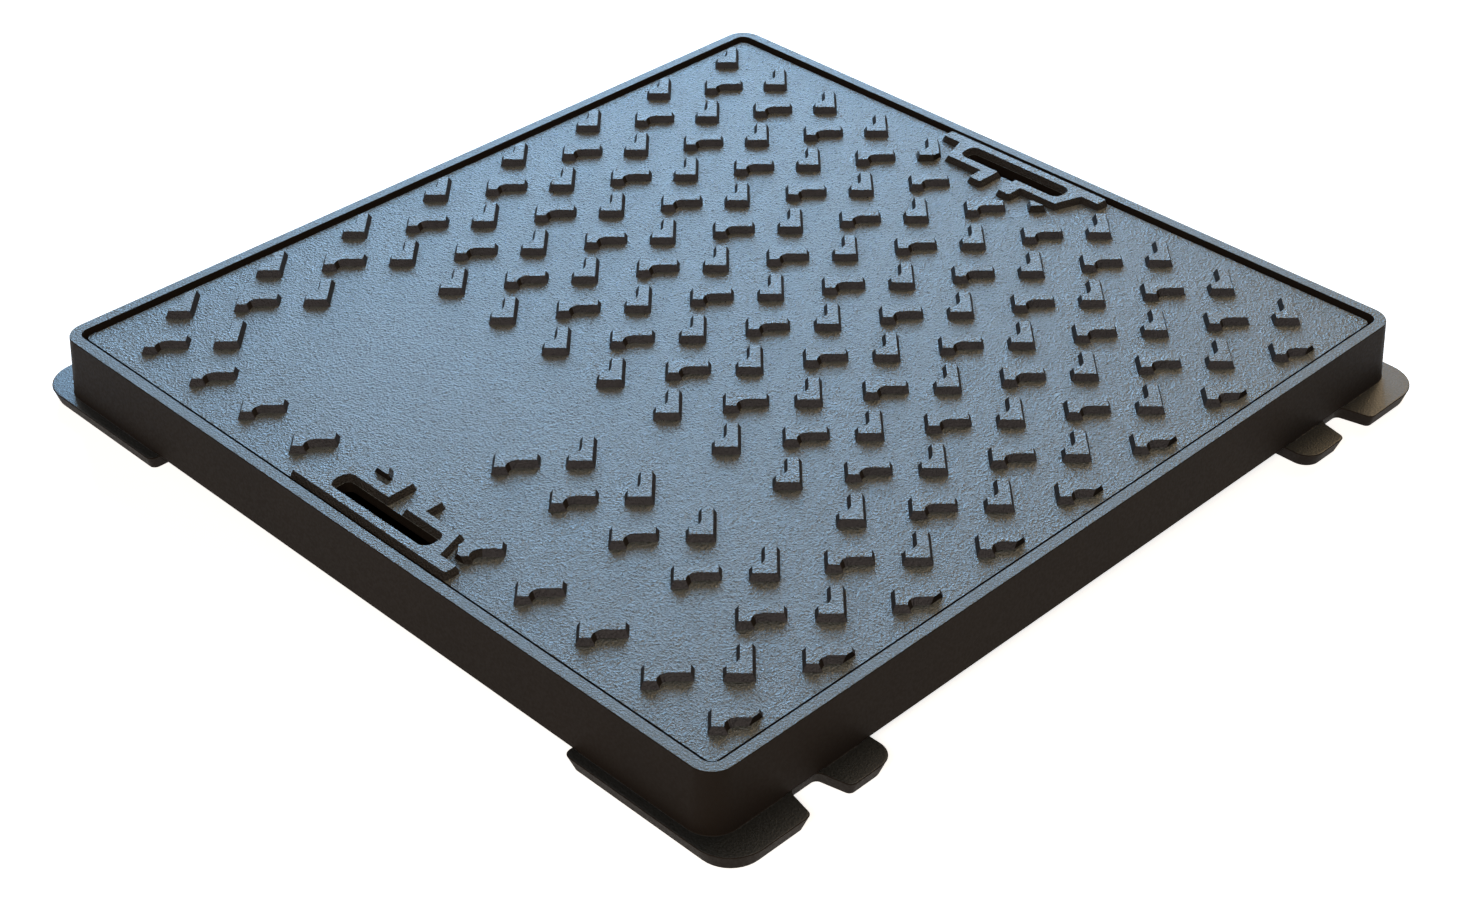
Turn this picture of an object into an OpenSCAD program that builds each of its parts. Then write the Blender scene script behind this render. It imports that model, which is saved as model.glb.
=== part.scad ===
// Inspection cover: a square iron cover with hook-shaped studs, resting in a shallow square frame.
// The origin is the middle of the base on the ground. X runs across the lifting slots' length,
// Y from one slot to the other, Z up.

/* [Frame] */
// Side of the square base, over the lugs
base_w = 500; // [490:1:540]
// Height of the frame, from the ground to the top of the rim
frame_h = 41; // [36:0.5:60]
// Outside of the rim at its top, along X
rim_x = 464; // [440:1:466]
// Outside of the rim at its top, along Y
rim_y = 485; // [440:1:488]
// Width of the rim's flat top
rim_w = 6.1; // [4:0.1:8]
// Radius of the rim's outer corners
rim_r = 12; // [10:0.5:16]
// How far the outer wall stands out at its foot, by its draft
wall_lean = 2.2; // [1:0.1:3]
// How far the inner wall stands in at the seat, by its draft
bore_lean = 0.6; // [0.3:0.1:1.5]

/* [Base plate] */
// Thickness of the base plate and its lugs
base_t = 8.2; // [6:0.1:10]
// How far the base plate's edge draws in at the ground, by its draft
base_lean = 3.4; // [2:0.1:3.5]
// Radius of the base plate's outer corners
base_r = 22; // [15:0.5:30]
// How far the base plate stays back under the wall between the lugs
undercut = 4.4; // [3:0.1:6]
// Length of a corner lug along X, from the base's corner
lug_x = 100; // [80:1:140]
// Radius of that lug's end
lug_x_r = 4; // [3.6:0.1:8]
// Length of a corner lug along Y, at the wall, from the base's corner
lug_y = 51; // [44:0.5:54]
// Width of the notch beside that lug, at the wall
notch_w = 16.7; // [13:0.1:22]
// How far the notch's bottom lies inside the foot of the wall
notch_in = 0.8; // [0:0.1:3]
// Radius in the notch's two inner corners
notch_r = 4; // [2:0.1:6]
// Angle by which each side of the notch opens outwards
notch_angle = 13; // [5:0.5:20]
// Radius of the notch's two outer corners
notch_lip_r = 3.6; // [3.6:0.1:5]
// Length of the small lug beyond the notch, at the wall
small_lug = 32; // [26:0.5:45]
// Radius of the small lug's far corner
small_lug_r = 10; // [5:0.5:12]

/* [Seat] */
// Height of the seat above the ground
seat_h = 12; // [9:0.5:16]
// Width of the seat, from the inner wall to the clear opening
seat_w = 22; // [16:0.5:40]
// Radius of the clear opening's corners
clear_r = 14; // [8:0.5:25]

/* [Cover] */
// Gap between the cover and the rim, all round
gap = 2.25; // [1.5:0.05:3]
// How far the plate's face lies below the top of the rim
sink = 1.75; // [1:0.05:3]
// Thickness of the plate
plate_t = 6; // [5:0.1:9]
// Thickness of the skirt round the cover's underside
skirt_t = 7; // [5:0.1:8]
// Draft of the skirt and ribs, on each side
skirt_lean = 1; // [0.5:0.1:1.4]
// Thickness of a rib at its free edge
rib_t = 5; // [4:0.1:9]
// How far the ribs stop above the skirt's foot
rib_rise = 6; // [3:0.5:12]
// Number of ribs along X
ribs_x = 1; // [1:1:5]
// Number of ribs along Y, an even number so that none runs under the slots
ribs_y = 2; // [2:2:4]

/* [Studs] */
// Height of the studs and of the bosses above the plate
stud_h = 3.5; // [2.5:0.1:5]
// How far their sides stand out at the foot
stud_lean = 1.6; // [0.8:0.1:1.8]
// Length of a stud's arm
arm_l = 19.5; // [17:0.1:21]
// Width of the arm
arm_w = 5.2; // [4:0.1:6]
// Length of a stud's foot, across the arm's end
foot_l = 10.8; // [9:0.1:12]
// Width of the foot
foot_w = 5.1; // [4:0.1:6]
// Number of studs in a row
stud_columns = 11; // [3:1:11]
// Number of rows of each hand
stud_rows = 8; // [2:1:8]
// Distance from the cover's edge to the elbow of the first stud in a row
first_x = 21.65; // [18:0.05:26]
// Distance from the cover's other edge to the elbow of the last stud in that row
last_x = 25.65; // [20:0.05:30]
// Distance from the cover's edge to the elbows of the first row
first_y = 27.95; // [24:0.05:32]
// Distance from the cover's other edge to the elbows of the last mirrored row
last_y = 21.15; // [18:0.05:28]
// Plain strip along the cover's edges: studs that reach into it are cut off square
border = 6; // [4:0.1:9]

/* [Lifting slots] */
// Distance from the cover's edge to the middle of a slot
slot_in = 13.35; // [13:0.05:18]
// Length of a slot at the top of its boss
slot_l = 70; // [50:1:76]
// Width of a slot at the top of its boss
slot_w = 13; // [11:0.1:14]
// Radius of a slot's ends
slot_r = 5; // [3.5:0.1:5.2]
// Ledge round the slot at the plate's face
slot_ledge = 0.3; // [0.2:0.05:0.8]
// Length of the boss along its outer edge
boss_l = 109.8; // [96:0.5:130]
// Width of the bar along the boss's outer edge, up to its shoulders
bar_w = 7.2; // [5:0.1:9]
// Length of the boss's body at its shoulders
body_l = 86.8; // [80:0.5:92]
// Width of that body, from the shoulders to its inner edge
body_w = 16.2; // [14:0.1:20]
// How far each end of the body slants in over its width
body_slant = 5.4; // [2:0.1:8]
// Width of each of the boss's two legs
leg_w = 7.5; // [5:0.1:10]
// Length of a leg beyond the body
leg_l = 9.8; // [5:0.1:12]
// Width of the channel between the legs
channel_w = 13; // [8:0.1:16]
// Radius of the boss's corners
boss_r = 1; // [0.2:0.1:2]
// Clear plate that the studs leave round a boss, where they are cut off square too
stud_clear = 5.8; // [2:0.1:7]

/* [Hidden] */
$fn = 64;
// how far a cut runs past the face it opens
eps = 0.01;
// how far the wall sinks into the base plate, and the tread into the cover's plate, so that they
// join
lap = 0.1;
// how far a lug's block runs on past the shape that trims it
over = 32;
// smallest radius that a cone keeps at its thin end
tip_r = 0.2;

wall_h = frame_h - base_t;
rim_in_x = rim_x - 2 * rim_w;
rim_in_y = rim_y - 2 * rim_w;
rim_in_r = max(rim_r - rim_w, bore_lean + tip_r);
clear_x = rim_in_x - 2 * bore_lean - 2 * seat_w;
clear_y = rim_in_y - 2 * bore_lean - 2 * seat_w;
// outer face of the wall at its foot, from the middle
foot_x = rim_x / 2 + wall_lean;
foot_y = rim_y / 2 + wall_lean;
// the base plate's edge in the notch, flush with the wall
notch_x = foot_x - notch_in;
// the middle of the notch
notch_y = base_w / 2 - lug_y - notch_w / 2;

cover_x = rim_in_x - 2 * gap;
cover_y = rim_in_y - 2 * gap;
cover_r = max(rim_in_r - gap, skirt_lean + tip_r);
face_z = frame_h - sink;
plate_z = face_z - plate_t;
tread_h = stud_h + lap;
skirt_h = plate_z - seat_h;
rib_h = skirt_h - rib_rise;
// the boss's outer edge at its top: its foot ends at the edge of the plate
boss_y = cover_y / 2 - stud_lean;
// the boss's shoulders and the inner edge of its body
shoulder_y = boss_y - bar_w;
body_y = shoulder_y - body_w;
slot_y = cover_y / 2 - slot_in;
elbow_x = cover_x / 2 - first_x;
elbow_y = cover_y / 2 - first_y;
// rows of standing and mirrored studs take turns, half a row pitch apart
pitch_x = (cover_x - first_x - last_x) / (stud_columns - 1);
row_step = (cover_y - first_y - last_y) / (2 * stud_rows - 1);

// Stretches of a row left without studs, for markings: row, first and last column
bare_standing = [[6, 2, 5], [7, 2, 9]];
bare_mirrored = [[5, 1, 8], [6, 1, 4], [7, 5, 5]];

// The cross-section of a bar with leaning sides: w wide at the top, lean more on each side below
module trapezoid(w, h, lean)
  polygon([[-w / 2 - lean, 0], [w / 2 + lean, 0], [w / 2, h], [-w / 2, h]]);

// A bar of that section along X, with square ends
module bar(l, w, h, lean)
  rotate([90, 0, 90]) linear_extrude(l, center = true) trapezoid(w, h, lean);

// A slab with rounded corners and leaning sides. Its sizes are those of its top face.
// A negative lean makes it smaller below, as a pocket or an edge drawn the other way.
module slab(x, y, r, h, lean) {
  bar(x - 2 * r, y, h, lean);
  rotate([0, 0, 90]) bar(y - 2 * r, x, h, lean);
  for (sx = [-1, 1], sy = [-1, 1])
    translate([sx * (x / 2 - r), sy * (y / 2 - r), 0]) cylinder(h = h, r1 = r + lean, r2 = r);
}

// A slab between two corners of its top face
module slab_between(low, high, r, h, lean)
  translate([(low[0] + high[0]) / 2, (low[1] + high[1]) / 2, 0])
    slab(high[0] - low[0], high[1] - low[1], r, h, lean);

// Copies of a shape in the four quarters
module quarters()
  for (mx = [0, 1], my = [0, 1]) mirror([mx, 0, 0]) mirror([0, my, 0]) children();

// Base plate

// A block with the base plate's thickness and draft
module lug_block(low, high, r) slab_between(low, high, r, base_t, -base_lean);

// The lug along X: its end is square to the wall
module lug_along_x() lug_block(
  [base_w / 2 - lug_x, foot_y - over / 2], [base_w / 2 + over, base_w / 2 + over], lug_x_r);

// One side of the notch, as the end of a long block turned by the notch's angle about the point
// where that side meets the wall. It is drawn towards +Y and mirrored for the other side.
module notch_side(toward, length)
  translate([foot_x, notch_y, 0]) mirror([0, toward < 0 ? 1 : 0, 0])
    translate([0, notch_w / 2, 0]) rotate([0, 0, notch_angle])
      lug_block([-over, 0], [over, length], notch_lip_r);

// The small lug lies beyond the notch, and its far end is square to the wall
module small_lug_along_y() {
  end_y = notch_y - notch_w / 2 - small_lug;
  intersection() {
    notch_side(-1, small_lug + over);
    lug_block([2 * foot_x - base_w / 2, end_y], [base_w / 2, notch_y],
      min(small_lug_r, base_w / 2 - foot_x));
  }
}

// The web at the notch's bottom, with rounded inner corners
module notch_web() difference() {
  lug_block([notch_x - over / 2, notch_y - notch_w / 2 - notch_r],
    [notch_x + notch_r, notch_y + notch_w / 2 + notch_r], base_lean + tip_r);
  translate([0, 0, -eps]) slab_between([notch_x, notch_y - notch_w / 2],
    [notch_x + over, notch_y + notch_w / 2], notch_r, base_t + 2 * eps, base_lean);
}

module base_plate() intersection() {
  slab(base_w, base_w, base_r, base_t, -base_lean);
  union() {
    slab(2 * (foot_x - undercut), 2 * (foot_y - undercut), rim_r, base_t, -base_lean);
    quarters() {
      lug_along_x();
      notch_side(1, lug_y + over);
      small_lug_along_y();
      notch_web();
    }
  }
}

module frame() color([0.16, 0.17, 0.18]) difference() {
  union() {
    base_plate();
    translate([0, 0, base_t - lap]) slab(rim_x, rim_y, rim_r, wall_h + lap, wall_lean);
  }
  translate([0, 0, seat_h]) slab(rim_in_x, rim_in_y, rim_in_r, frame_h - seat_h + eps, -bore_lean);
  translate([0, 0, -eps]) slab(clear_x, clear_y, clear_r, seat_h + 2 * eps, bore_lean);
}

// Cover

// A hook-shaped stud. The elbow of its top face is at the origin, the arm runs along -X and the
// foot along -Y, and the inner corner is one round sweep as long as the foot's free side.
module stud() {
  sweep = foot_l - arm_w;
  difference() {
    translate([-arm_l / 2, -foot_l / 2, 0]) intersection() {
      bar(arm_l + 2 * stud_lean, foot_l, tread_h, stud_lean);
      rotate([0, 0, 90]) bar(foot_l + 2 * stud_lean, arm_l, tread_h, stud_lean);
    }
    translate([-foot_w - sweep, -foot_l, 0]) {
      cylinder(h = tread_h, r1 = sweep - stud_lean, r2 = sweep);
      translate([-arm_l / 2, 0, 0]) bar(arm_l, 2 * sweep, tread_h, -stud_lean);
    }
  }
}

// Whether a stud of this row and column is left out for a marking
function is_bare(list, row, column) =
  len([for (b = list) if (b[0] == row && column >= b[1] && column <= b[2]) b]) > 0;

// Rows of standing studs, whose elbows point to -Y, and rows of mirrored ones between them
module stud_field(bare) for (row = [0 : stud_rows - 1], column = [0 : stud_columns - 1])
  if (!is_bare(bare, row, column))
    translate([-elbow_x + column * pitch_x, elbow_y - row * 2 * row_step, 0]) rotate([0, 0, -45]) stud();

module studs() intersection() {
  union() {
    stud_field(bare_standing);
    translate([0, -row_step, 0]) mirror([1, 0, 0]) stud_field(mirrored_columns(bare_mirrored));
  }
  translate([border - cover_x / 2, border - cover_y / 2, -eps])
    cube([cover_x - 2 * border, cover_y - 2 * border, tread_h + 2 * eps]);
}

// The same stretches counted from the other end of the row
function mirrored_columns(list) =
  [for (b = list) [b[0], stud_columns - 1 - b[2], stud_columns - 1 - b[1]]];

// The boss round the slot on the +Y side: a bar, a body with slanted ends and two legs
module boss() {
  boss_slab([-boss_l / 2, shoulder_y], [boss_l / 2, boss_y]);
  intersection() {
    boss_slab([-body_l / 2 - 2 * boss_r, body_y], [body_l / 2 + 2 * boss_r, boss_y - boss_r]);
    slanted_end();
    mirror([1, 0, 0]) slanted_end();
  }
  for (side = [-1, 1]) translate([side * (channel_w + leg_w) / 2, 0, 0])
    boss_slab([-leg_w / 2, body_y - leg_l], [leg_w / 2, shoulder_y]);
}

module boss_slab(low, high) slab_between(low, high, boss_r, tread_h, stud_lean);

// A block whose slanted edge is one end of the boss's body
module slanted_end() translate([body_l / 2, shoulder_y, 0])
  rotate([0, 0, -atan(body_slant / body_w)]) boss_slab([-2 * body_l, -body_l], [0, 2 * body_w]);

// Where no stud may stand: a block round the bar, the body and the legs. The legs' one is shorter,
// so that it leaves the foot of the next row alone.
module boss_clearance() for (part = [[boss_l / 2, shoulder_y], [body_l / 2 - body_slant, body_y],
  [channel_w / 2 + leg_w, body_y - leg_l + stud_lean]]) {
  x = part[0] + stud_clear;
  y = part[1] - stud_clear;
  translate([-x, y, 0]) cube([2 * x, cover_y / 2 - y, tread_h + 2 * eps]);
}

// The slot in the boss narrows to its width in the plate, and the channel opens it inwards
module slot_cut() {
  translate([0, slot_y, 0]) slab(slot_l, slot_w, slot_r, tread_h + 2 * eps, -stud_lean);
  slab_between([-channel_w / 2, body_y - 2 * leg_l], [channel_w / 2, slot_y], stud_lean + tip_r,
    tread_h + 2 * eps, -stud_lean);
}

module slot_hole() {
  inset = stud_lean + slot_ledge;
  translate([0, slot_y, 0])
    slab(slot_l - 2 * inset, slot_w - 2 * inset, slot_r - inset, plate_t + 2 * eps, bore_lean);
}

module both_slots() for (my = [0, 1]) mirror([0, my, 0]) children();

module plate() difference() {
  translate([0, 0, plate_z]) slab(cover_x, cover_y, cover_r, plate_t, 0);
  both_slots() translate([0, 0, plate_z - eps]) slot_hole();
}

module tread() translate([0, 0, face_z - lap]) {
  difference() {
    studs();
    both_slots() translate([0, 0, -eps]) boss_clearance();
  }
  both_slots() difference() {
    boss();
    translate([0, 0, -eps]) slot_cut();
  }
}

// The skirt round the underside and the ribs between its sides
module skirt() translate([0, 0, seat_h]) difference() {
  slab(cover_x, cover_y, cover_r, skirt_h, -skirt_lean);
  translate([0, 0, -eps])
    slab(cover_x - 2 * skirt_t, cover_y - 2 * skirt_t, cover_r, skirt_h + 2 * eps, skirt_lean);
}

module ribs() translate([0, 0, plate_z]) mirror([0, 0, 1]) {
  step_y = cover_y / (ribs_x + 1);
  step_x = cover_x / (ribs_y + 1);
  for (i = [1 : ribs_x]) translate([0, -cover_y / 2 + i * step_y, 0])
    bar(cover_x - skirt_t, rib_t, rib_h, skirt_lean);
  for (i = [1 : ribs_y]) translate([-cover_x / 2 + i * step_x, 0, 0])
    rotate([0, 0, 90]) bar(cover_y - skirt_t, rib_t, rib_h, skirt_lean);
}

module cover() color([0.42, 0.46, 0.49]) {
  plate();
  tread();
  skirt();
  ribs();
}

frame();
cover();
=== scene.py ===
import math

import bmesh
import bpy
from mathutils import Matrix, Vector


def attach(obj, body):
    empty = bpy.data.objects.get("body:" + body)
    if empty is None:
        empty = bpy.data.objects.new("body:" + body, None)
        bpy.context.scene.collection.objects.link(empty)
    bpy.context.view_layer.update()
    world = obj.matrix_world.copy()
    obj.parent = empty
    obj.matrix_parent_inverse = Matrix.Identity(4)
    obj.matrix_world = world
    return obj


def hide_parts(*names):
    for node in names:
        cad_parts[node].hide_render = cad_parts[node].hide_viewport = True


# A square iron inspection cover resting in its frame. Blender works in metres, and the castings'
# own sizes are written in mm.
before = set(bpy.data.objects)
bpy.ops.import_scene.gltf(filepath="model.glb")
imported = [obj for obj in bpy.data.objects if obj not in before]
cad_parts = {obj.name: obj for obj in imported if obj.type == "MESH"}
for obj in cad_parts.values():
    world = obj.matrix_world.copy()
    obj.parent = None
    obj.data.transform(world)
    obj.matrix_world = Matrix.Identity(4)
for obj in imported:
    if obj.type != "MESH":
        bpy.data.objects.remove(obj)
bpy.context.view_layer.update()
mm = 0.001
print("packed model loaded")


# Colours and nodes

def linearFromHex(text):
    channels = [int(text[i:i + 2], 16) / 255 for i in (0, 2, 4)]
    return [c / 12.92 if c <= 0.04045 else ((c + 0.055) / 1.055) ** 2.4 for c in channels] + [1.0]


# adds one node: settings are its attributes and socket values, links go into its sockets
def addNode(tree, kind, settings=None, links=None):
    node = tree.nodes.new(kind)
    for key, value in (settings or {}).items():
        if isinstance(key, int) or key in node.inputs:
            node.inputs[key].default_value = value
        else:
            setattr(node, key, value)
    for key, source in (links or {}).items():
        tree.links.new(source, node.inputs[key])
    return node


def newMaterial(name):
    material = bpy.data.materials.new(name)
    material.use_nodes = True
    material.node_tree.nodes.clear()
    return material, material.node_tree


# Bitumen paint on sand-cast iron. Dipped black paint leaves the sand's grain open on the tread:
# the eye gets a dark satin skin, dense with small pebbles.
treadPaint = {
    "colour": "33342F",
    "worn": "3C3D38",     # where the coat is thinner
    "roughness": 0.38,
    "glossSpread": 0.12,  # how much duller the hollows are than the pebbles' tops
    "ior": 1.54,
    "grain": 1.15,        # mm from one pebble to the next
    "grainDepth": 1.3,    # mm of bump, of which the noise uses about a third
    "fineness": 0.6,      # share of the smaller pebbles on the larger ones
    "wave": 26.0,         # mm, the slow unevenness of the sand mould
    "waveDepth": 0.10,
}
# The rim is dressed smoother and its paint is rubbed: lighter and duller, its grain finer and
# shallower.
rimPaint = dict(treadPaint, colour="4C5152", worn="575C5D", ior=1.44, grain=1.05, grainDepth=0.85,
                glossSpread=0.10, roughness=0.50)
# The lugs' tops are smoother still, with hardly any grain. Their nearly black colour is painted
# shade: the shade that falls on them at the wall's foot.
lugPaintWithPaintedShade = dict(treadPaint, colour="0D0D0B", worn="121210", ior=1.44, grainDepth=0.16,
                glossSpread=0.05, roughness=0.42)
# The studs' flanks that face +x and -y, towards the front light: matt grey, rough with sand. Its
# grey, lighter than the tread's colour, is painted light.
flankPaintWithPaintedLight = {
    "colour": "3A3A3E",
    "worn": "4B4A4F",
    "roughness": 0.55,
    "glossSpread": 0.10,
    "ior": 1.22,
    "grain": 1.0,
    "grainDepth": 1.8,
    "fineness": 0.5,
    "wave": 12.0,
    "waveDepth": 0.04,
}
# The studs' flanks that face -x and +y, away from the front light, and the sides of the bosses: as
# rough, darker and browner. This darker copy is painted shade.
bossPaintWithPaintedShade = dict(flankPaintWithPaintedLight, colour="25221F", worn="322E2B")
# Walls and cut faces: matt black, faintly blotched brown. This copy, darker than the tread's
# colour, is painted shade.
wallPaintWithPaintedShade = {
    "colour": "1A1613",
    "worn": "231D19",
    "roughness": 0.58,
    "glossSpread": 0.05,
    "ior": 1.14,
    "grain": 1.5,
    "grainDepth": 0.02,
    "fineness": 0.4,
    "wave": 60.0,
    "waveDepth": 0.12,
}
# What the noise behind every paint has in common.
paintNoise = {
    "grainDetail": 1.5,
    "waveDetail": 2.0,
    "waveFineness": 0.5,
    "hollow": 0.35,       # the noise's value in the grain's hollows
    "pebble": 0.65,       # and on the pebbles' tops
}


def makePaint(name, values):
    material, tree = newMaterial(name)
    place = addNode(tree, "ShaderNodeTexCoord").outputs["Object"]
    grain = addNode(tree, "ShaderNodeTexNoise", {
        "Scale": 1 / (values["grain"] * mm), "Detail": paintNoise["grainDetail"],
        "Roughness": values["fineness"]}, {"Vector": place})
    wave = addNode(tree, "ShaderNodeTexNoise", {
        "Scale": 1 / (values["wave"] * mm), "Detail": paintNoise["waveDetail"],
        "Roughness": paintNoise["waveFineness"]}, {"Vector": place})
    tint = addNode(tree, "ShaderNodeMix", {
        "data_type": "RGBA", 6: linearFromHex(values["colour"]), 7: linearFromHex(values["worn"])},
        {0: wave.outputs["Fac"]})
    slow = addNode(tree, "ShaderNodeBump", {
        "Strength": 1.0, "Distance": values["waveDepth"] * mm}, {"Height": wave.outputs["Fac"]})
    fine = addNode(tree, "ShaderNodeBump", {
        "Strength": 1.0, "Distance": values["grainDepth"] * mm},
        {"Height": grain.outputs["Fac"], "Normal": slow.outputs["Normal"]})
    spread = values["glossSpread"]
    gloss = addNode(tree, "ShaderNodeMapRange", {
        "From Min": paintNoise["hollow"], "From Max": paintNoise["pebble"],
        "To Min": values["roughness"] + spread, "To Max": values["roughness"] - spread},
        {"Value": grain.outputs["Fac"]})
    paint = addNode(tree, "ShaderNodeBsdfPrincipled", {"IOR": values["ior"]}, {
        "Base Color": tint.outputs[2], "Roughness": gloss.outputs["Result"],
        "Normal": fine.outputs["Normal"]})
    addNode(tree, "ShaderNodeOutputMaterial", {}, {"Surface": paint.outputs["BSDF"]})
    return material


paints = {
    "tread": makePaint("bitumenPaintOnSandCastIron", treadPaint),
    "rim": makePaint("bitumenPaintOnDressedIron", rimPaint),
    "lug": makePaint("bitumenPaintOnLugsPaintedShade", lugPaintWithPaintedShade),
    "side": makePaint("bitumenPaintPaintedLight", flankPaintWithPaintedLight),
    "boss": makePaint("bitumenPaintOnBossesPaintedShade", bossPaintWithPaintedShade),
    "wall": makePaint("bitumenPaintPaintedShade", wallPaintWithPaintedShade),
}
print("materials made")


# Outlines and castings, in mm

# an outline from its corners, each given as x, y and the radius that rounds it
def roundCorners(corners, degreesPerStep=9):
    points = []
    for i, (x, y, radius) in enumerate(corners):
        here = Vector((x, y))
        back = (Vector(corners[i - 1][:2]) - here).normalized()
        ahead = (Vector(corners[(i + 1) % len(corners)][:2]) - here).normalized()
        half = back.angle(ahead) / 2
        reach = radius / math.tan(half)
        centre = here + (back + ahead).normalized() * (radius / math.sin(half))
        start, end = here + back * reach - centre, here + ahead * reach - centre
        sweep = math.atan2(start.x * end.y - start.y * end.x, start.dot(end))
        steps = max(2, round(abs(math.degrees(sweep)) / degreesPerStep))
        for k in range(steps + 1):
            turn = sweep * k / steps
            points.append((centre.x + start.x * math.cos(turn) - start.y * math.sin(turn),
                           centre.y + start.x * math.sin(turn) + start.y * math.cos(turn)))
    return points


# moves a counter-clockwise outline outwards by a distance, mitred at its points
def grow(points, distance, mitreLimit=0.3):
    moved = []
    for i, point in enumerate(points):
        here = Vector(point)
        a = (here - Vector(points[i - 1])).normalized()
        b = (Vector(points[(i + 1) % len(points)]) - here).normalized()
        out = Vector((a.y + b.y, -a.x - b.x)).normalized()
        moved.append(here + out * (distance / max(mitreLimit, out.dot(Vector((a.y, -a.x))))))
    return moved


# a rounded rectangle whose points have the same order and number whatever its size: steps are
# those along x, along y and round a corner
def roundRect(halfX, halfY, radius, steps=(230, 240, 16)):
    points = []
    for turn, (sx, sy) in enumerate(((1, 1), (-1, 1), (-1, -1), (1, -1))):
        x, y = sx * (halfX - radius), sy * (halfY - radius)
        for i in range(steps[2] + 1):
            angle = math.radians(90 * (turn + i / steps[2]))
            points.append((x + radius * math.cos(angle), y + radius * math.sin(angle)))
        nextX, nextY = (-x, y) if turn % 2 == 0 else (x, -y)
        corner = math.radians(90 * (turn + 1))
        startX, startY = points[-1]
        endX, endY = nextX + radius * math.cos(corner), nextY + radius * math.sin(corner)
        count = steps[turn % 2]
        for i in range(1, count):
            t = i / count
            points.append((startX + (endX - startX) * t, startY + (endY - startY) * t))
    return points


def addRing(bm, points, z):
    return [bm.verts.new((x * mm, y * mm, z * mm)) for x, y in points]


def joinRings(bm, lower, upper):
    count = len(lower)
    for i in range(count):
        j = (i + 1) % count
        bm.faces.new((lower[i], lower[j], upper[j], upper[i]))


def edgesOf(bm, ring):
    return [bm.edges.get((ring[i - 1], ring[i])) or bm.edges.new((ring[i - 1], ring[i]))
            for i in range(len(ring))]


# normals that lie flat on the large faces, so that only the broken edges shade round
def faceWeightedNormals(mesh):
    sums = [Vector() for _ in mesh.vertices]
    for polygon in mesh.polygons:
        for index in polygon.vertices:
            sums[index] += polygon.normal * polygon.area ** 2
    mesh.normals_split_custom_set_from_vertices([total.normalized() for total in sums])


def finishCasting(name, bm, paintFor, node):
    bm.normal_update()
    mesh = bpy.data.meshes.new(name)
    bm.to_mesh(mesh)
    bm.free()
    used = list(paints)
    for key in used:
        mesh.materials.append(paints[key])
    for polygon in mesh.polygons:
        polygon.use_smooth = True
        polygon.material_index = used.index(paintFor(polygon))
    mesh.set_sharp_from_angle(angle=math.pi)  # no edge stays sharp
    faceWeightedNormals(mesh)
    piece = bpy.data.objects.new(name, mesh)
    bpy.context.scene.collection.objects.link(piece)
    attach(piece, "root")
    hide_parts(node)


# Frame casting: rim, leaning wall, seat, and the base plate with its lugs

frameSizes = {
    "rimHalf": (232.0, 242.5),
    "rimRound": 12.0,     # the rim's corners, seen from above
    "rimWidth": 6.1,
    "height": 41.0,
    "wallLean": 2.2,      # how far the wall's foot stands outside the rim
    "wallSteps": 4,
    "edge": 0.5,          # rounding of the rim's outer edge
    "edgeSteps": 5,
    "innerEdge": 0.25,    # and of its inner edge
    "innerSteps": 4,
    "boreLean": 0.6,      # how much tighter the bore is at the seat than at the rim
    "seatHeight": 12.0,
    "seatWidth": 22.0,
    "seatFillet": 1.2,    # between bore and seat
    "seatBend": (0.4, 0.35),   # its middle: inwards from the bore and up from the seat
    "seatRound": 5.3,     # the seat's outer corners, seen from above
    "clearRound": 14.0,
    "clearEdge": 0.8,     # rounding of the seat's inner edge
    "clearBend": (0.2, 0.25),  # its middle: outwards from the opening and down from the seat
    "clearLean": 0.6,     # how far the opening narrows down to the ground
    # the wall's foot: a fillet where it stands on a lug, and an overhang elsewhere
    "fillet": 0.35,
    "footSteps": 8,
    "flatShare": 0.4,     # share of the steps that are the overhang's flat underside
    "underhang": 5.0,     # how far the underside reaches in from its rounded edge
    "underBend": 1.5,     # its points crowd towards the edge by this power
    "lowEdge": 0.6,       # how far in the overhang's lower edge starts to round
    "lowEdgeBend": 1.6,   # power of the curve by which it rises
    "lowEdgeLift": 0.02,  # and how far above the underside it starts
    # the base plate and its lugs, from the middle
    "baseThick": 8.2,
    "baseHalf": 250.0,
    "baseRound": 19.5,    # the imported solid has 22.0
    "baseLean": 2.8,      # how far the lower edge leans in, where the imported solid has 3.4
    "cornerLugX": 150.0,  # where each corner lug begins
    "cornerLugY": 199.0,
    "cornerLugRound": 4.0,
    "smallLug": (150.3, 182.3),  # where each small lug begins and ends
    "smallLugRound": 10.0,
    "lugSlant": 3.65,     # how far the notch's sides open outwards
    "notchX": 233.4,      # the notch's floor
    "notchIn": 0.2,       # how far short of each lug that floor ends
    "notchRound": 3.6,    # its corners at the plate's edge
    "notchFootRound": 4.0,
    "tuckHalf": (229.8, 240.3),  # the plate's edge under the wall, between lugs
    "tuckRound": 1.0,
    "roundLoss": 0.06,    # share of its radius that a corner loses for each mm drawn in
    # the plate's section: inwards from its lean and up from the ground, then inwards from its
    # outline and down from its top
    "plateFoot": ((0.1, 0.0), (-0.25, 0.5)),
    "plateTop": ((0.15, 0.7), (0.0, 0.4), (0.1, 0.2), (0.35, 0.05), (0.9, 0.0)),
    # the stretch beside each lug's end over which the foot passes from overhang to lug
    "cornerFadeX": (0.5, 4.5),
    "cornerFadeY": (0.5, 4.0),
    "smallFade": (2.0, 8.0),
    "notchFade": (-4.0, -0.5),
    # which faces take the rim's and the lugs' paint: the least upward share of the normal
    "rimUp": 0.9,
    "lugUp": 0.95,
    "lugBand": 0.4,       # and how near to the lugs' tops
}


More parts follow.
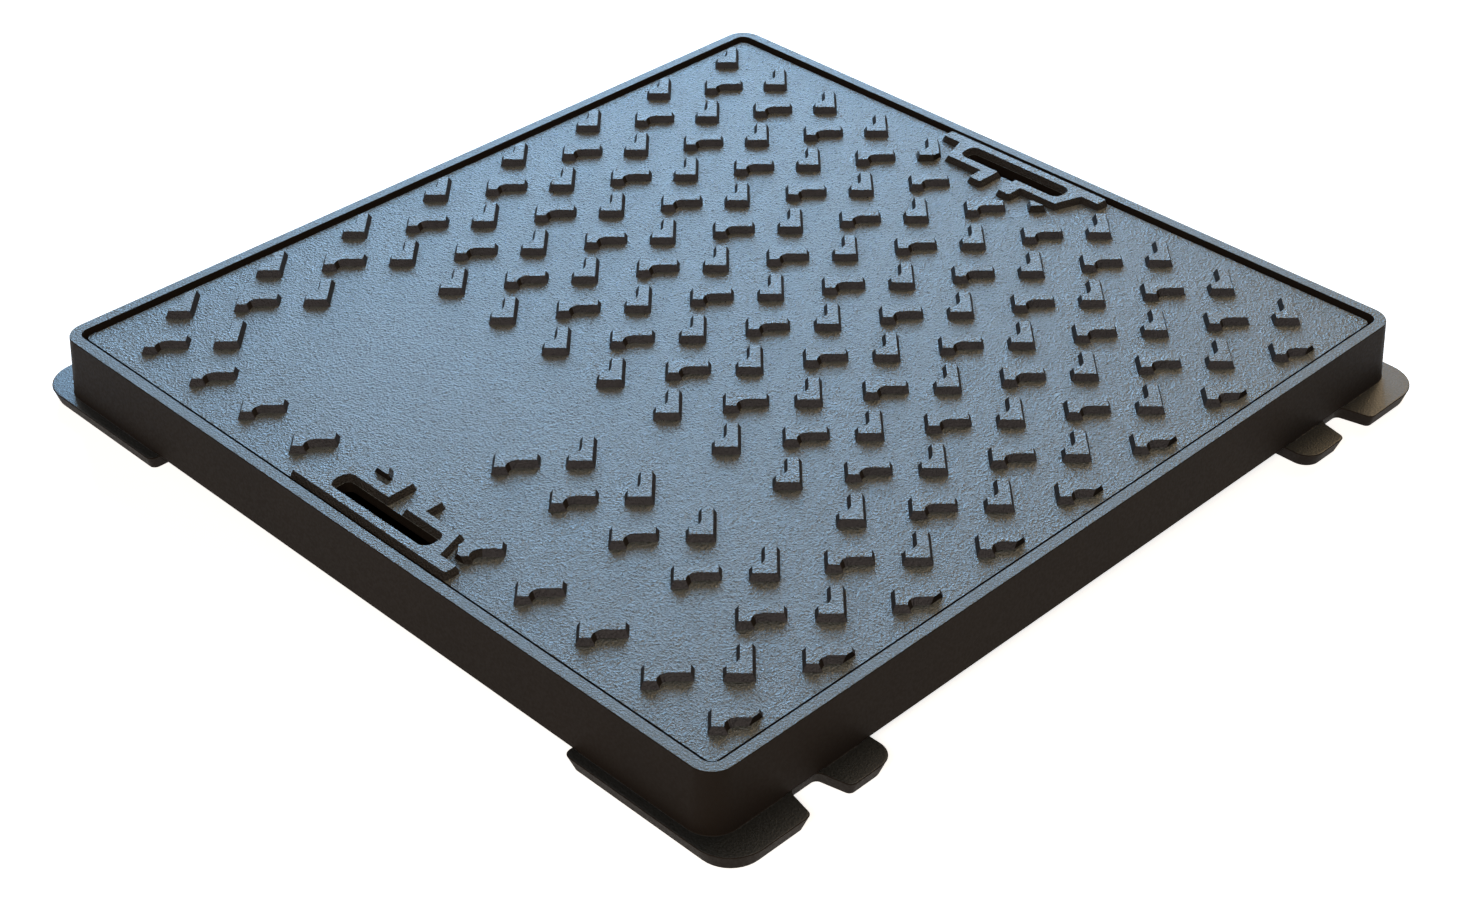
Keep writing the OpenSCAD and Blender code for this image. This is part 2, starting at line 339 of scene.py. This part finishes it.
# rises smoothly from 0 to 1 over a stretch given by two distances from an end
def fade(place, end, stretch):
    low, high = end + stretch[0], end + stretch[1]
    t = min(1.0, max(0.0, (place - low) / (high - low)))
    return t * t * (3 - 2 * t)


# 1 where the wall's foot stands on a lug, 0 where it overhangs
def lugUnder(x, y, sizes):
    halfX, halfY = sizes["rimHalf"]
    alongX, alongY = abs(x), abs(y)
    if alongY - halfY > alongX - halfX:
        return fade(alongX, sizes["cornerLugX"], sizes["cornerFadeX"])
    first, last = sizes["smallLug"]
    small = fade(alongY, first, sizes["smallFade"]) * (1 - fade(alongY, last, sizes["notchFade"]))
    return max(small, fade(alongY, sizes["cornerLugY"], sizes["cornerFadeY"]))


def makeFrameCasting(sizes):
    bm = bmesh.new()
    halfX, halfY = sizes["rimHalf"]
    top, foot, low = sizes["height"], sizes["baseThick"], sizes["wallLean"]
    lean = low / (top - foot)
    reach = sizes["fillet"]

    def wallRing(out, z, radius=None):
        radius = sizes["rimRound"] + out if radius is None else radius
        return addRing(bm, roundRect(halfX + out, halfY + out, radius), z)

    # the foot's section as t goes from 0, beside the plate, to 1, where the wall starts
    def onLug(t):
        angle = math.radians(90 * (1 - t))
        return (low + reach * (1 - math.cos(angle)) - lean * reach * math.cos(angle),
                foot + reach * (1 - math.sin(angle)))

    def overhang(t):
        flat, rounded = sizes["flatShare"], sizes["lowEdge"]
        if t < flat:
            left = 1 - t / flat
            return low - sizes["underhang"] * left ** sizes["underBend"] - rounded * left, foot
        u = (t - flat) / (1 - flat)
        return (low - rounded * (1 - u) ** 2 - lean * reach * u,
                foot + sizes["lowEdgeLift"] + reach * u ** sizes["lowEdgeBend"])

    rings = []
    weights = [lugUnder(x, y, sizes) for x, y in roundRect(halfX, halfY, sizes["rimRound"])]
    for k in range(sizes["footSteps"] + 1):
        t = k / sizes["footSteps"]
        (flareOut, flareZ), (tuckOut, tuckZ) = onLug(t), overhang(t)
        flare = roundRect(halfX + flareOut, halfY + flareOut, sizes["rimRound"] + flareOut)
        tuck = roundRect(halfX + tuckOut, halfY + tuckOut, sizes["rimRound"] + tuckOut)
        rings.append([
            bm.verts.new(((tx + (fx - tx) * w) * mm, (ty + (fy - ty) * w) * mm,
                          (tuckZ + (flareZ - tuckZ) * w) * mm))
            for (fx, fy), (tx, ty), w in zip(flare, tuck, weights)])

    # the wall, the rounded rim and the inside down to the clear opening
    edge, inner = sizes["edge"], sizes["innerEdge"]
    for k in range(1, sizes["wallSteps"] + 1):
        z = foot + reach + (top - edge - foot - reach) * k / sizes["wallSteps"]
        rings.append(wallRing(lean * (top - z), z))
    for k in range(1, sizes["edgeSteps"] + 1):
        angle = math.radians(90 * k / sizes["edgeSteps"])
        rings.append(wallRing(lean * edge - edge * (1 - math.cos(angle)),
                              top - edge * (1 - math.sin(angle))))
    bore = -sizes["rimWidth"]
    for k in range(sizes["innerSteps"] + 1):
        angle = math.radians(90 * (1 - k / sizes["innerSteps"]))
        rings.append(wallRing(bore + inner * (1 - math.cos(angle)),
                              top - inner * (1 - math.sin(angle))))
    seat, boreFoot, clearRound = sizes["seatHeight"], bore - sizes["boreLean"], sizes["clearRound"]
    inwards, up = sizes["seatBend"]
    rings.append(wallRing(boreFoot, seat + sizes["seatFillet"]))
    rings.append(wallRing(boreFoot - inwards, seat + up))
    rings.append(wallRing(boreFoot - sizes["seatFillet"], seat, sizes["seatRound"]))
    clear = boreFoot - sizes["seatWidth"]
    outwards, down = sizes["clearBend"]
    rings.append(wallRing(clear + sizes["clearEdge"], seat, clearRound))
    rings.append(wallRing(clear + outwards, seat - down, clearRound))
    rings.append(wallRing(clear, seat - sizes["clearEdge"], clearRound))
    rings.append(wallRing(clear - sizes["clearLean"], 0.0, clearRound))
    for lower, upper in zip(rings, rings[1:]):
        joinRings(bm, lower, upper)

    # the base plate: a quarter of its outline, mirrored twice
    base, notchX, slant = sizes["baseHalf"], sizes["notchX"], sizes["lugSlant"]
    tuckX, tuckY = sizes["tuckHalf"]
    first, last = sizes["smallLug"]
    lugX, lugY = sizes["cornerLugX"], sizes["cornerLugY"]
    quarter = [
        (tuckX, first, sizes["tuckRound"]),
        (base, first, sizes["smallLugRound"]),
        (base, last - slant, sizes["notchRound"]),
        (notchX, last + sizes["notchIn"], sizes["notchFootRound"]),
        (notchX, lugY - sizes["notchIn"], sizes["notchFootRound"]),
        (base, lugY + slant, sizes["notchRound"]),
        (base, base, sizes["baseRound"]),
        (lugX, base, sizes["cornerLugRound"]),
        (lugX, tuckY, sizes["tuckRound"])]
    mirrored = list(reversed(quarter))
    corners = (quarter + [(-x, y, r) for x, y, r in mirrored]
               + [(-x, -y, r) for x, y, r in quarter] + [(x, -y, r) for x, y, r in mirrored])

    # the outline drawn in by a distance, with each corner keeping most of its radius
    def plateRing(inwards, z):
        moved = grow([(x, y) for x, y, r in corners], -inwards)
        keep = 1 - sizes["roundLoss"] * inwards
        drawn = [(p.x, p.y, r * keep) for p, (x, y, r) in zip(moved, corners)]
        return addRing(bm, roundCorners(drawn), z)

    plate = [plateRing(sizes["baseLean"] + inwards, up) for inwards, up in sizes["plateFoot"]]
    plate += [plateRing(inwards, foot - down) for inwards, down in sizes["plateTop"]]
    for lower, upper in zip(plate, plate[1:]):
        joinRings(bm, lower, upper)
    # its top runs up to the wall's foot, and its underside to the clear opening
    for outline, inside in ((plate[-1], rings[0]), (plate[0], rings[-1])):
        bmesh.ops.triangle_fill(bm, use_beauty=True,
                                edges=edgesOf(bm, outline) + edgesOf(bm, inside))
    bmesh.ops.recalc_face_normals(bm, faces=bm.faces)

    # faces take paint by the way they face: the lugs' nearly black tops and the walls' darker
    # paint are painted shade
    def paintFor(polygon):
        z = polygon.center.z / mm
        if polygon.normal.z > sizes["rimUp"] and z > top - edge:
            return "rim"
        onTop = polygon.normal.z > sizes["lugUp"] and abs(z - foot) < sizes["lugBand"]
        return "lug" if onTop else "wall"

    finishCasting("frameCasting", bm, paintFor, "frame")


makeFrameCasting(frameSizes)
print("frame casting made")


# Cover casting: the model's own solid with its edges broken, as sand-cast edges are

coverFinish = {
    "weld": 0.002,        # points nearer than this become one
    "flat": 0.6,          # degrees up to which neighbouring faces are joined
    "sharp": 32.0,        # degrees from which an edge is broken
    "edge": 0.22,         # how far the broken edge runs onto each face
    "edgeSteps": 2,
    "edgeShape": 0.5,     # a round one
    "speck": 0.001,       # edges shorter than this are taken out
    "faceZ": 39.25,       # the plate's face in the solid
    "plateUnder": 30.0,   # its underside
    "seatHeight": 12.0,
    "settle": 0.6,        # how much lower the photo's plate lies than the solid's
    "slack": 0.5,         # and how much wider its gap is
    "border": (219.0, 229.5),  # what lies further out than this moves in by the slack
    # which faces take which paint: the upward share of the normal, and heights from the face
    "treadUp": 0.93,
    "treadBelow": 1.0,
    "sideUp": 0.2,
    "sideBelow": 0.1,
    "bossX": 57.0,        # the bosses lie within this of the middle line
    "bossY": 197.0,       # and beyond this from the middle
    "flank": 0.62,        # least share of the normal across the studs on their long flanks
}


def makeCoverCasting(values):
    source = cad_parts["cover"]
    bm = bmesh.new()
    bm.from_mesh(source.data)
    bmesh.ops.remove_doubles(bm, verts=bm.verts, dist=values["weld"] * mm)
    bmesh.ops.dissolve_limit(bm, angle_limit=math.radians(values["flat"]), verts=bm.verts,
                             edges=bm.edges)
    # the plate settles, and the skirt shortens evenly so that its foot stays on the seat
    seat, under = values["seatHeight"], values["plateUnder"]
    for vertex in bm.verts:
        rise = min(1.0, max(0.0, (vertex.co.z / mm - seat) / (under - seat)))
        vertex.co.z -= values["settle"] * mm * rise
        for axis in (0, 1):
            if abs(vertex.co[axis]) > values["border"][axis] * mm:
                vertex.co[axis] -= math.copysign(values["slack"] * mm, vertex.co[axis])
    sharp = [e for e in bm.edges if len(e.link_faces) == 2
             and e.calc_face_angle() > math.radians(values["sharp"])]
    bmesh.ops.bevel(bm, geom=sharp, offset=values["edge"] * mm, offset_type="OFFSET",
                    segments=values["edgeSteps"], profile=values["edgeShape"], affect="EDGES",
                    clamp_overlap=True)
    bmesh.ops.dissolve_degenerate(bm, dist=values["speck"] * mm, edges=bm.edges)
    faceZ = values["faceZ"] - values["settle"]

    # a stud's long flanks lie across this direction, which points towards the front light: flanks
    # facing it take a lighter paint as painted light, and those facing away, the bosses' sides and
    # the studs' ends take darker paints as painted shade
    across = Vector((1, -1, 0)).normalized()

    def paintFor(polygon):
        x, y, z = polygon.center / mm
        if polygon.normal.z > values["treadUp"] and z > faceZ - values["treadBelow"]:
            return "tread"
        if z < faceZ - values["sideBelow"] or polygon.normal.z < values["sideUp"]:
            return "wall"
        facing = polygon.normal.dot(across)
        if facing < -values["flank"] or (abs(x) < values["bossX"] and abs(y) > values["bossY"]):
            return "boss"
        return "side" if facing > values["flank"] else "wall"

    finishCasting("coverCasting", bm, paintFor, "cover")


makeCoverCasting(coverFinish)
print("cover casting made")


# Floor, light and camera, in metres

stageLook = {
    "floor": "E9E9E8",
    "floorHalf": 6.0,
    "lift": 0.78,         # what the floor gives to the eye beyond its own light, towards white
    "near": 0.6,          # distance from the middle at which the lift starts to grow
    "away": 1.5,          # and at which the floor is as white as the background
    "shaded": 0.22,       # half-width of the floor under the cover, painted black there: painted shade standing for the dark chamber beneath
    "ambient": 0.08,
    "ambientTint": "F2E2D2",
    "aim": (0, 0, 0.04),  # what the softboxes point at
    "boxes": [
        # name, place, size, watts and tint
        ("softboxBack", (-1.42, 1.19, 0.80), (1.5, 0.65), 74.0, "98CAF5"),
        ("softboxSide", (-0.10, 1.70, 1.35), (1.2, 0.8), 19.0, "FFD898"),
        ("softboxFront", (0.95, -1.35, 1.25), (0.9, 0.7), 22.0, "FFEBD4"),
    ],
}


# 1 for rays from the camera, a reflection or glass, and 0 for those that light the object
def seenRays(tree):
    rays = addNode(tree, "ShaderNodeLightPath")
    seen = addNode(tree, "ShaderNodeMath", {"operation": "MAXIMUM"}, {
        0: rays.outputs["Is Camera Ray"], 1: rays.outputs["Is Glossy Ray"]})
    seen = addNode(tree, "ShaderNodeMath", {"operation": "MAXIMUM"}, {
        0: seen.outputs[0], 1: rays.outputs["Is Transmission Ray"]})
    return seen.outputs[0]


def makeFloor(values):
    mesh = bpy.data.meshes.new("floor")
    half = values["floorHalf"]
    mesh.from_pydata([(-half, -half, 0), (half, -half, 0), (half, half, 0), (-half, half, 0)], [],
                     [(0, 1, 2, 3)])
    floor = bpy.data.objects.new("floor", mesh)
    bpy.context.scene.collection.objects.link(floor)
    material, tree = newMaterial("matPaleCard")
    seen = seenRays(tree)
    place = addNode(tree, "ShaderNodeSeparateXYZ", {}, {
        0: addNode(tree, "ShaderNodeTexCoord").outputs["Object"]})
    sides = [addNode(tree, "ShaderNodeMath", {"operation": "ABSOLUTE"}, {0: place.outputs[i]})
             for i in (0, 1)]
    distance = addNode(tree, "ShaderNodeMath", {"operation": "MAXIMUM"}, {
        0: sides[0].outputs[0], 1: sides[1].outputs[0]})
    outside = addNode(tree, "ShaderNodeMath", {"operation": "GREATER_THAN", 1: values["shaded"]},
                      {0: distance.outputs[0]})
    lift = addNode(tree, "ShaderNodeMapRange", {
        "From Min": values["near"], "From Max": values["away"],
        "To Min": values["lift"], "To Max": 1.0}, {"Value": distance.outputs[0]})
    lift = addNode(tree, "ShaderNodeMath", {"operation": "MULTIPLY"}, {
        0: lift.outputs["Result"], 1: seen})
    lift = addNode(tree, "ShaderNodeMath", {"operation": "MULTIPLY"}, {
        0: lift.outputs[0], 1: outside.outputs[0]})
    # under the cover the floor's colour is black: painted shade, seen through the slots
    colour = addNode(tree, "ShaderNodeMix", {
        "data_type": "RGBA", 6: (0, 0, 0, 1), 7: linearFromHex(values["floor"])},
        {0: outside.outputs[0]})
    card = addNode(tree, "ShaderNodeBsdfPrincipled", {
        "Roughness": 1.0, "Specular IOR Level": 0.0, "Emission Color": (1, 1, 1, 1)},
        {"Base Color": colour.outputs[2], "Emission Strength": lift.outputs[0]})
    addNode(tree, "ShaderNodeOutputMaterial", {}, {"Surface": card.outputs["BSDF"]})
    mesh.materials.append(material)


def makeLight(values):
    world = bpy.data.worlds.new("studio")
    bpy.context.scene.world = world
    world.use_nodes = True
    tree = world.node_tree
    tree.nodes.clear()
    soft = addNode(tree, "ShaderNodeBackground", {
        "Color": linearFromHex(values["ambientTint"]), "Strength": values["ambient"]})
    white = addNode(tree, "ShaderNodeBackground", {"Color": (1, 1, 1, 1), "Strength": 1.0})
    both = addNode(tree, "ShaderNodeMixShader", {}, {
        0: seenRays(tree), 1: soft.outputs[0], 2: white.outputs[0]})
    addNode(tree, "ShaderNodeOutputWorld", {}, {"Surface": both.outputs[0]})

    for name, place, size, watts, tint in values["boxes"]:
        lamp = bpy.data.lights.new(name, "AREA")
        lamp.shape = "RECTANGLE"
        lamp.size, lamp.size_y = size
        lamp.energy = watts
        lamp.color = linearFromHex(tint)[:3]
        box = bpy.data.objects.new(name, lamp)
        box.location = place
        towards = Vector(values["aim"]) - Vector(place)
        box.rotation_euler = towards.to_track_quat("-Z", "Y").to_euler()
        bpy.context.scene.collection.objects.link(box)


makeFloor(stageLook)
makeLight(stageLook)

cameraPlace = {
    "at": (0.7794, -0.7789, 0.7433),
    "tilt": 54.75,
    "turn": 45.04,
    "lens": 64.07,
    "sensor": 36.0,
}
camera = bpy.data.objects.new("camera", bpy.data.cameras.new("camera"))
camera.location = cameraPlace["at"]
camera.rotation_euler = (math.radians(cameraPlace["tilt"]), 0, math.radians(cameraPlace["turn"]))
camera.data.lens = cameraPlace["lens"]
camera.data.sensor_width = cameraPlace["sensor"]
bpy.context.scene.collection.objects.link(camera)
bpy.context.scene.camera = camera
bpy.context.scene.view_settings.view_transform = "Standard"
print("stage, lights and camera set")
